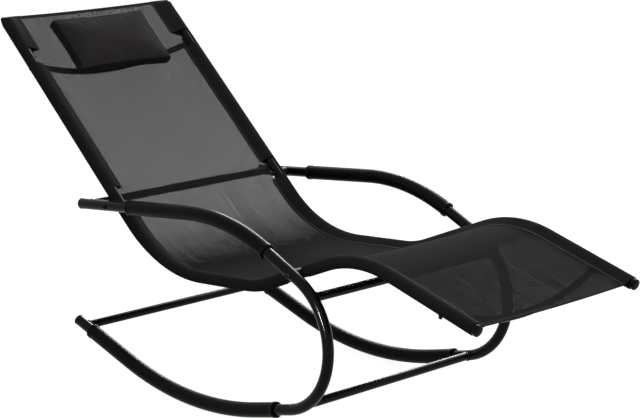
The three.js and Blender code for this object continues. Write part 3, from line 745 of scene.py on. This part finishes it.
def open_weave(pitch, hole_share):
    """Yarns both ways with square holes between them, a little wider or narrower from place to place"""
    material, tree, place = on_cloth("open_weave")
    ways = node(tree, "ShaderNodeSeparateXYZ", {0: place}).outputs
    waves = [maths(tree, "COSINE", maths(tree, "MULTIPLY", ways[k], 2 * math.pi / pitch)) for k in (0, 1)]
    slack = speckle(tree, drawn_out(tree, place, 130.0, 2.0), 1.0, 4.0)
    edge = maths(tree, "ADD", maths(tree, "MULTIPLY", slack, weave_slack),
                 math.cos(math.pi * hole_share) - weave_slack / 2)
    open_across, open_along = (maths(tree, "GREATER_THAN", wave, edge) for wave in waves)
    hole = maths(tree, "MULTIPLY", open_across, open_along)
    streaks = speckle(tree, drawn_out(tree, place, 420.0, 9.0), 1.0, 3.0)
    shade = blend(tree, streaks, (0.0135, 0.0121, 0.0135), (0.0252, 0.0228, 0.0252))
    round_yarn = maths(tree, "MULTIPLY", maths(tree, "MINIMUM", waves[0], waves[1]), -1.0)
    yarn = solid(tree, shade, 0.8, 0.01, Normal=raised(tree, round_yarn, 0.2, 0.0002))
    clear = node(tree, "ShaderNodeBsdfTransparent").outputs[0]
    return finish(material, node(tree, "ShaderNodeMixShader", {0: hole, 1: yarn, 2: clear}).outputs[0])


weave_pitch = 0.0016
weave_hole_share = 0.551
weave_slack = 0.6
weave_thickness = 0.00045
core_thickness = 0.00015
panel_sag = 0.004
panel_from_rail = 0.0135
panel_half = rail_x - panel_from_rail
panel_flat_from_rail = 0.0253
panel_detail_from_rail = 0.0240
sling_top = -0.0061
sling_foot = rail_length - 0.008
mesh_cloth = open_weave(weave_pitch, weave_hole_share)

# The rail's line runs on above its head end, where the sling goes over the plug
rail_up = [(sling_top * 2, rail_start[0] + 2 * sling_top * math.cos(rail_heading),
            rail_start[1] + 2 * sling_top * math.sin(rail_heading), rail_heading)] + rail


def panel_rise(x):
    return -panel_sag * (1 - min(1, abs(x) / (rail_x - panel_flat_from_rail)) ** 2)


def on_panel(x, s):
    return spot(rail_up, s, x, panel_rise(x))


def strip_mesh(name, columns, marks, place, half=None):
    """A sheet of columns across by marks along, with a UV map in metres; half gives its edges' places"""
    mesh = bpy.data.meshes.new(name)
    wide = len(columns)
    spread = [[-half(s), *columns[1:-1], half(s)] if half else columns for s in marks]
    points = [place(u, s) for s, row in zip(marks, spread) for u in row]
    faces = [(j * wide + i, j * wide + i + 1, (j + 1) * wide + i + 1, (j + 1) * wide + i)
             for j in range(len(marks) - 1) for i in range(wide - 1)]
    mesh.from_pydata(points, [], faces)
    uv = mesh.uv_layers.new(name="UVMap")
    for loop in mesh.loops:
        row, column = divmod(loop.vertex_index, wide)
        uv.data[loop.index].uv = (spread[row][column], marks[row])
    return mesh


def walled(piece, thickness, offset=0.0):
    wall = piece.modifiers.new("wall", "SOLIDIFY")
    wall.thickness, wall.offset, wall.use_even_offset = thickness, offset, True
    baked(piece)


# The panel's edge gives way to saddles, screws and nuts: half a length, and how far in from the rail
saddle_bay = (0.0175, 0.0160)
screw_bay = (0.0060, 0.0193)
nut_bay = (0.0085, 0.0225)
bay_ease = 0.005
bay_steps = 5
panel_bays = [(s, *saddle_bay) for s in (upper_on_rail, lower_on_rail)]
panel_bays += [(s - screw_shift, *screw_bay) for s in (upper_on_rail, lower_on_rail)]
panel_bays += [(s, *nut_bay) for s in (back_bolt_on_rail, front_bolt_on_rail)]


def panel_reach(s):
    inset = panel_from_rail
    for centre, half, deepest in panel_bays:
        t = min(1.0, max(0.0, (half + bay_ease - abs(s - centre)) / bay_ease))
        inset = max(inset, panel_from_rail + (deepest - panel_from_rail) * t * t * (3 - 2 * t))
    return rail_x - inset


inner_reach = rail_x - panel_detail_from_rail
panel_columns = [-panel_half] + [inner_reach * (i / 19 - 1) for i in range(39)] + [panel_half]
panel_marks = set(stretch(rail_up, sling_top, sling_foot, 0.012))
panel_marks |= {centre + k * (half + bay_ease * i / bay_steps) for centre, half, deepest in panel_bays
                for k in (-1, 1) for i in range(bay_steps + 1)}
panel_marks = sorted(panel_marks)
sheets = (("mesh_panel", weave_thickness, "sling_panel"), ("mesh_core", core_thickness))
for name, wall, *cad_nodes in sheets:
    sheet = new_piece(name, strip_mesh(name, panel_columns, panel_marks,
                      on_panel, panel_reach), mesh_cloth)
    walled(sheet, wall)
    settle(sheet, "chair", "sling_weave", *cad_nodes)


# Sling hems and end bands
# Strips of dense black cloth, folded round each rail and sewn to the panel along its edge. They are
# cut away at each fitting. The panel's head and foot edges are turned over and stitched.
def dense_cloth():
    material, tree, place = on_cloth("dense_cloth")
    ribs = node(tree, "ShaderNodeTexWave", {"Vector": place, "Scale": 260.0, "Distortion": 1.2,
                "Detail": 2.0, "Detail Scale": 4.0}, bands_direction="DIAGONAL").outputs["Fac"]
    shade = blend(tree, speckle(tree, place, 24.0, 5.0), (0.0165, 0.0146, 0.0165), (0.0260, 0.0232, 0.0260))
    return finish(material, solid(tree, shade, 0.9, 0.02, Normal=raised(tree, ribs, 0.35, 0.00012)))


hem_cloth = dense_cloth()
cloth_wall = 0.0011
tunnel_radius = 0.0160
tunnel_steps = 40
tunnel_tighter = 0.094
tighter_from = 0.60
tighter_over = 0.15
nut_bump = 0.0015
nut_bump_in = 0.018
nut_bump_along = 0.013
nut_bump_across = 0.005
seam_start = 0.025
seam_end = 0.031
head_seam_start = 0.037
head_seam_end = 0.043
head_seam_to = 0.125
seam_half = 0.0019
seam_half_end = 0.0012
pocket_turn = 0.013
pocket_flat = 0.0012
pocket_tuck = {-1: 0.31, 1: 0.0}
pocket_detail_end = 0.13
crease_depth = 0.0007
crease_reach = 0.11
window_past_rail = -0.006
window_corner = 0.011
window_inside = 0.055
through, from_below = 0.03, -0.002

# Each window's start and end along the rail, and how far up it is cut
windows = [(upper_on_rail - 0.033, upper_on_rail + 0.019, through),
           (back_bolt_on_rail - 0.044, back_bolt_on_rail + 0.018, through),
           (front_bolt_on_rail - 0.066, front_bolt_on_rail + 0.020, from_below),
           (lower_on_rail - 0.028, lower_on_rail + 0.020, from_below)]
bush_hole = 0.0116
bush_hole_from = 0.0085


def hem_profile(flap_start, flap_end):
    """(towards the chair's middle, up) round the tunnel, from the upper seam edge to the lower one"""
    lean = math.acos((tunnel_radius - seam_half) / flap_start)
    angles = [lean + (2 * math.pi - 2 * lean) * i / tunnel_steps for i in range(tunnel_steps + 1)]
    turn = [(tunnel_radius * math.cos(a), tunnel_radius * math.sin(a)) for a in angles]
    flap = [(flap_end + (flap_start - flap_end) * t, seam_half_end + (seam_half - seam_half_end) * t)
            for t in (0, 0.25, 0.5, 0.75, 1)]
    flank = [(flap_start + (turn[0][0] - flap_start) * t, seam_half + (turn[0][1] - seam_half) * t)
             for t in (0.1, 0.35, 0.7)]
    upper = flap + flank
    lower = [(u, -v) for u, v in reversed(upper)]
    return upper + turn + lower


def hem_point(way, s, u, v):
    """A point of the hem: the tunnel closes flat at the head end, and its cloth creases a little there"""
    t = min(1.0, max(0.0, (pocket_turn - s) / (pocket_turn - sling_top)))
    v = math.copysign(max(abs(v) * (1 - t ** 1.3), min(abs(v), pocket_flat)), v)
    if u < 0:
        u *= 1 - pocket_tuck[way] * (max(0.0, t - 0.5) / 0.5) ** 2
    if u < seam_start:
        tight = tunnel_tighter * min(1.0, max(0.0, (s - tighter_from) / tighter_over))
        tight *= 1 - max(0.0, u) / seam_start
        u, v = u * (1 - tight), v * (1 - tight)
    if v > 0 and u > 0:
        v += nut_bump * math.exp(-((s - front_bolt_on_rail) / nut_bump_along) ** 2
                                 - ((u - nut_bump_in) / nut_bump_across) ** 2)
    crease = noise.noise(Vector((way * 3.7 + s * 62 - u * 40, u * 150 + s * 55, v * 60)))
    crease *= crease_depth * max(0.0, 1 - max(0.0, s) / crease_reach) * (1 - 0.6 * t)
    length = math.hypot(u, v)
    if u < seam_start and length > 0.005:
        u, v = u * (1 + crease / length), v * (1 + crease / length)
    drop = panel_rise(rail_x - u) if u > seam_start else 0.0
    return spot(rail_up, s, way * (rail_x - u), up=v + drop)


def hem_mesh(way):
    narrow, wide = hem_profile(seam_start, seam_end), hem_profile(head_seam_start, head_seam_end)
    marks = set(stretch(rail_up, sling_top, pocket_detail_end, 0.0025))
    marks |= set(stretch(rail_up, pocket_detail_end, sling_foot, 0.010))
    marks |= {sling_top * k for k in (0.95, 0.85, 0.7)}
    marks = sorted(marks)
    marks = [s for i, s in enumerate(marks) if i == 0 or s - marks[i - 1] > 1e-5]
    lengths = [0.0]
    for a, b in zip(narrow, narrow[1:]):
        lengths.append(lengths[-1] + math.dist(a, b))
    form = bmesh.new()
    uv = form.loops.layers.uv.new("UVMap")
    rows = [[form.verts.new(hem_point(way, s, u, v)) for u, v in (wide if s < head_seam_to else narrow)]
            for s in marks]
    for j in range(len(marks) - 1):
        for i in range(len(narrow) - 1):
            corners = [(j, i), (j, i + 1), (j + 1, i + 1), (j + 1, i)]
            face = form.faces.new([rows[a][b] for a, b in corners])
            for loop, (a, b) in zip(face.loops, corners):
                loop[uv].uv = (lengths[b], marks[a])
    if way > 0:
        bmesh.ops.reverse_faces(form, faces=form.faces)
    return meshed(form, "hem")


def prism(form, low, high):
    """A closed block between two matching outlines"""
    count = len(low)
    rows = [[form.verts.new(p) for p in outline] for outline in (low, high)]
    form.faces.new(rows[0])
    form.faces.new(list(reversed(rows[1])))
    for i in range(count):
        j = (i + 1) % count
        form.faces.new([rows[0][i], rows[1][i], rows[1][j], rows[0][j]])


def hem_openings(way):
    """What is cut from a hem: a window with round corners at each fitting, and a hole for each bush"""
    form = bmesh.new()
    past, r, inside = window_past_rail, window_corner, window_inside
    corner = [(r * (1 - math.cos(a)), past + r * (1 - math.sin(a)))
              for a in (math.radians(d) for d in range(0, 91, 15))]
    for start, end, top in windows:
        outline = [(start, u) for u in (inside, 0.040, 0.030, 0.015)]
        outline += [(start + d, u) for d, u in corner]
        outline += [(start + r + (end - start - 2 * r) * i / 6, past) for i in range(1, 6)]
        outline += [(end - d, u) for d, u in reversed(corner)]
        outline += [(end, u) for u in (0.015, 0.030, 0.040, inside)]
        outline += [(end + (start - end) * i / 6, inside) for i in range(1, 6)]
        prism(form, *[[spot(rail, s, way * (rail_x - u), up=up) for s, u in outline] for up in (-0.03, top)])
    for s in (back_bolt_on_rail, front_bolt_on_rail):
        y, z, h = at(rail, s)
        ring = [(y + bush_hole * math.cos(a), z + bush_hole * math.sin(a)) for a in around(32)]
        prism(form, *[[Vector((way * (rail_x + out), *p)) for p in ring] for out in (bush_hole_from, 0.03)])
    bmesh.ops.recalc_face_normals(form, faces=form.faces)
    return new_piece("openings", meshed(form, "openings"))


for side, way in hands:
    hem = new_piece(f"hem_{side}", hem_mesh(way), hem_cloth)
    walled(hem, cloth_wall, -1.0)
    openings = hem_openings(way)
    cut = hem.modifiers.new("windows", "BOOLEAN")
    cut.operation, cut.solver, cut.object = "DIFFERENCE", "EXACT", openings
    baked(hem)
    bpy.data.objects.remove(openings)
    settle(hem, "chair", "hem_cloth", f"sling_hem_{side}")

band_width = 0.009
band_wall = 0.0022
band_edge_round = 0.0009
band_under_hem = 0.001
band_half = rail_x - seam_end + band_under_hem
band_columns = [band_half * (i / 16 - 1) for i in range(33)]
for name, start in (("head", sling_top), ("foot", sling_foot - band_width)):
    marks = [start + band_width * i / 6 for i in range(7)]
    band = new_piece(f"{name}_band", strip_mesh("band", band_columns, marks, on_panel), hem_cloth)
    plated(band, band_wall, 0, band_edge_round, 3)
    settle(band, "chair", "hem_cloth")


# Stitching
# Two rows of black thread hold each hem to the panel, and one row holds each end band.
def stitches_tree():
    """Lays a small bead for each stitch along each line, one pitch apart"""
    tree, given, line = growing_tree("stitches", Pitch="Float", Stitch="Float", Thread="Float")
    spots = node(tree, "GeometryNodeCurveToPoints", {"Curve": line, "Length": given["Pitch"]}, mode="LENGTH")
    thread = given["Thread"]
    size = node(tree, "ShaderNodeCombineXYZ", {"X": thread, "Y": thread, "Z": given["Stitch"]}).outputs[0]
    bead = node(tree, "GeometryNodeMeshUVSphere", {"Segments": 6, "Rings": 5, "Radius": 0.5}).outputs["Mesh"]
    sewn = node(tree, "GeometryNodeInstanceOnPoints", {"Points": spots.outputs["Points"], "Instance": bead,
                "Rotation": spots.outputs["Rotation"], "Scale": size})
    return grown_out(tree, sewn.outputs[0], given["Finish"])


def sewing_thread():
    material, tree, where = on_object("sewing_thread")
    twist = speckle(tree, where, 900.0)
    return finish(material, solid(tree, (0.020, 0.018, 0.020, 1), ranged(tree, twist, 0.45, 0.7), 0.5))


stitch_row = stitches_tree()
black_thread = sewing_thread()
thread_sizes = {"Pitch": 0.0042, "Stitch": 0.0034, "Thread": 0.0008, "Finish": black_thread}
thread_lift = 0.0001

# Two rows a side: how far in from the rail each lies, and its share of the way up the seam's slope
row_shares = (0.73, 0.28)
head_rows = (0.0386, 0.0413)
other_rows = (0.0266, 0.0293)
end_margin = 0.004
window_margin = 0.002
upper_window, back_window = windows[:2]
sewn_runs = [(end_margin, upper_window[0] - window_margin, head_rows),
             (upper_window[1] + window_margin, back_window[0] - window_margin, other_rows),
             (back_window[1] + window_margin, sling_foot - end_margin, other_rows)]
for side, way in hands:
    rows = []
    for start, end, insets in sewn_runs:
        for inset, share in zip(insets, row_shares):
            height = seam_half_end + (seam_half - seam_half_end) * share + thread_lift
            x = rail_x - inset
            for up in (panel_rise(x) + height, panel_rise(x) - height):
                places = [spot(rail_up, s, way * x, up) for s in stretch(rail_up, start, end)]
                rows.append(even_line(places, 1.0))
    sewn = grown(f"hem_stitches_{side}", lines_mesh(rows), stitch_row, **thread_sizes)
    settle(sewn, "chair", "hem_cloth")
rows = []
for s in (sling_top + band_width * 0.75, sling_foot - band_width * 0.75):
    for up in (band_wall / 2, -band_wall / 2):
        rows.append(even_line([spot(rail_up, s, x, panel_rise(x) + up) for x in band_columns[1:-1]], 1.0))
sewn = grown("band_stitches", lines_mesh(rows), stitch_row, **thread_sizes)
settle(sewn, "chair", "hem_cloth")


# Head pillow
# A small padded cushion in plain black cloth: a front panel with drawn-in sides, a side strip and a
# back panel whose sewn corners stick out. It slides on two strips of touch fastener.
def pillow_cloth():
    material, tree, where = on_object("pillow_cloth")
    fibre = speckle(tree, where, 1600.0)
    cloudy = speckle(tree, where, 30.0, 5.0)
    shade = blend(tree, cloudy, (0.0180, 0.0158, 0.0180), (0.0285, 0.0252, 0.0285))
    folds = raised(tree, maths(tree, "ADD", maths(tree, "MULTIPLY", fibre, 0.15), cloudy), 0.35, 0.0012)
    return finish(material, solid(tree, shade, 0.85, 0.02, Sheen_Weight=0.06, Sheen_Roughness=0.5,
                                  Normal=folds))


pillow_finish = pillow_cloth()
pillow_wide = 0.282
pillow_long = 0.163
pillow_gusset = 0.024
pillow_crown = 0.009
pillow_draw_in = 0.0045
pillow_on_rail = 0.120
pillow_floor = -0.0009
pillow_bulge = 0.0022
pillow_pressure = 2.2
pillow_spare_cloth = 0.004
pillow_cap = 0.008
puff_frames = 24
welt_lift = 0.0004
welt_radius = 0.0007
welt_sides = 8
cells_across, cells_along, cells_up = 62, 36, 6


def pillow_place(a, b, height):
    """A point of the cushion from its shares across and along: the sides pull in between the corners"""
    bulge = pillow_bulge * math.sin(math.pi * min(1.0, height / pillow_gusset))
    x = a * (pillow_wide / 2 + bulge - pillow_draw_in * (1 - b * b))
    y = b * (pillow_long / 2 + bulge - pillow_draw_in * (1 - a * a))
    return Vector((x, y, height))


def pillow_form():
    """The sewn cover: a back panel, a side strip and a crowned front panel, with their seams as edges"""
    form = bmesh.new()
    shares_across = [2 * i / cells_across - 1 for i in range(cells_across + 1)]
    shares_along = [2 * j / cells_along - 1 for j in range(cells_along + 1)]
    panels = []
    for front in (False, True):
        grid = {}
        for i, a in enumerate(shares_across):
            for j, b in enumerate(shares_along):
                crown = pillow_crown * ((1 - a ** 4) * (1 - b ** 4)) ** 0.7 if front else 0.0
                point = pillow_place(a, b, pillow_gusset if front else 0.0) + Vector((0, 0, crown))
                grid[i, j] = form.verts.new(point)
        for i in range(cells_across):
            for j in range(cells_along):
                corners = [grid[i, j], grid[i + 1, j], grid[i + 1, j + 1], grid[i, j + 1]]
                form.faces.new(corners if front else list(reversed(corners)))
        panels.append(grid)
    rim = [(i, 0) for i in range(cells_across)]
    rim += [(cells_across, j) for j in range(cells_along)]
    rim += [(i, cells_along) for i in range(cells_across, 0, -1)]
    rim += [(0, j) for j in range(cells_along, 0, -1)]
    rows = [[panels[0][key] for key in rim]]
    for k in range(1, cells_up):
        height = pillow_gusset * k / cells_up
        rows.append([form.verts.new(pillow_place(shares_across[i], shares_along[j], height))
                     for i, j in rim])
    rows.append([panels[1][key] for key in rim])
    for low, high in zip(rows, rows[1:]):
        for i in range(len(rim)):
            j = (i + 1) % len(rim)
            form.faces.new([low[i], low[j], high[j], high[i]])
    form.verts.index_update()
    seams = [[v.index for v in rows[0]], [v.index for v in rows[-1]]]
    back = [v.index for v in panels[0].values()]
    return meshed(form, "pillow"), seams, back


cover, pillow_seams, pillow_back = pillow_form()
pillow = new_piece("head_pillow", cover, pillow_finish)
held = pillow.vertex_groups.new(name="held")
held.add(pillow_back + pillow_seams[1], 1.0, "REPLACE")
before = [v.co.copy() for v in pillow.data.vertices]
puff = pillow.modifiers.new("puff", "CLOTH")
puff.settings.quality = 8
puff.settings.mass = 0.15
puff.settings.tension_stiffness = puff.settings.compression_stiffness = 15
puff.settings.bending_stiffness = 0.3
puff.settings.vertex_group_mass = "held"
puff.settings.shrink_min = -pillow_spare_cloth
puff.settings.use_pressure = True
puff.settings.uniform_pressure_force = pillow_pressure
puff.settings.effector_weights.gravity = 0
puff.point_cache.frame_start, puff.point_cache.frame_end = 1, puff_frames
for step in range(1, puff_frames + 1):
    bpy.context.scene.frame_set(step)
seen = pillow.evaluated_get(bpy.context.evaluated_depsgraph_get())
after = [v.co.copy() for v in seen.data.vertices]
pillow.modifiers.clear()
bpy.context.scene.frame_set(1)
for vertex, old, new in zip(pillow.data.vertices, before, after):
    move = new - old
    if move.length > pillow_cap:
        move *= pillow_cap / move.length
    vertex.co = old + move
pillow.vertex_groups.clear()
for vertex in pillow.data.vertices:
    vertex.co.z = max(0.0, vertex.co.z)
seam_lines = [even_line([pillow.data.vertices[i].co + Vector((0, 0, welt_lift)) for i in seam],
                        welt_radius, True) for seam in pillow_seams]
smooth = pillow.modifiers.new("smooth", "SUBSURF")
smooth.levels = smooth.render_levels = 1
baked(pillow, 55)
pillow_stand = fitting_frame(rail, pillow_on_rail) @ Matrix.Translation((0, 0, pillow_floor))
pillow.data.transform(pillow_stand)
settle(pillow, "pillow", "pillow_cloth", "pillow")
welt = rounds("pillow_seams", seam_lines, pillow_finish, welt_sides)
welt.data.transform(pillow_stand)
settle(welt, "pillow", "pillow_cloth")

strip_x = 0.085
strip_half_width = 0.012
strip_long = 0.130
strip_wall = 0.0012
strip_level = pillow_floor - 0.0009
for side, way in hands:
    columns = [way * strip_x + strip_half_width * (i / 4 - 1) for i in range(9)]
    marks = [pillow_on_rail - strip_long / 2 + strip_long * i / 26 for i in range(27)]
    strip = new_piece(f"touch_strip_{side}", strip_mesh("strip", columns, marks,
                      lambda x, s: spot(rail_up, s, x, up=strip_level)), hem_cloth)
    walled(strip, strip_wall)
    settle(strip, "pillow", "hem_cloth", f"pillow_strip_{side}")
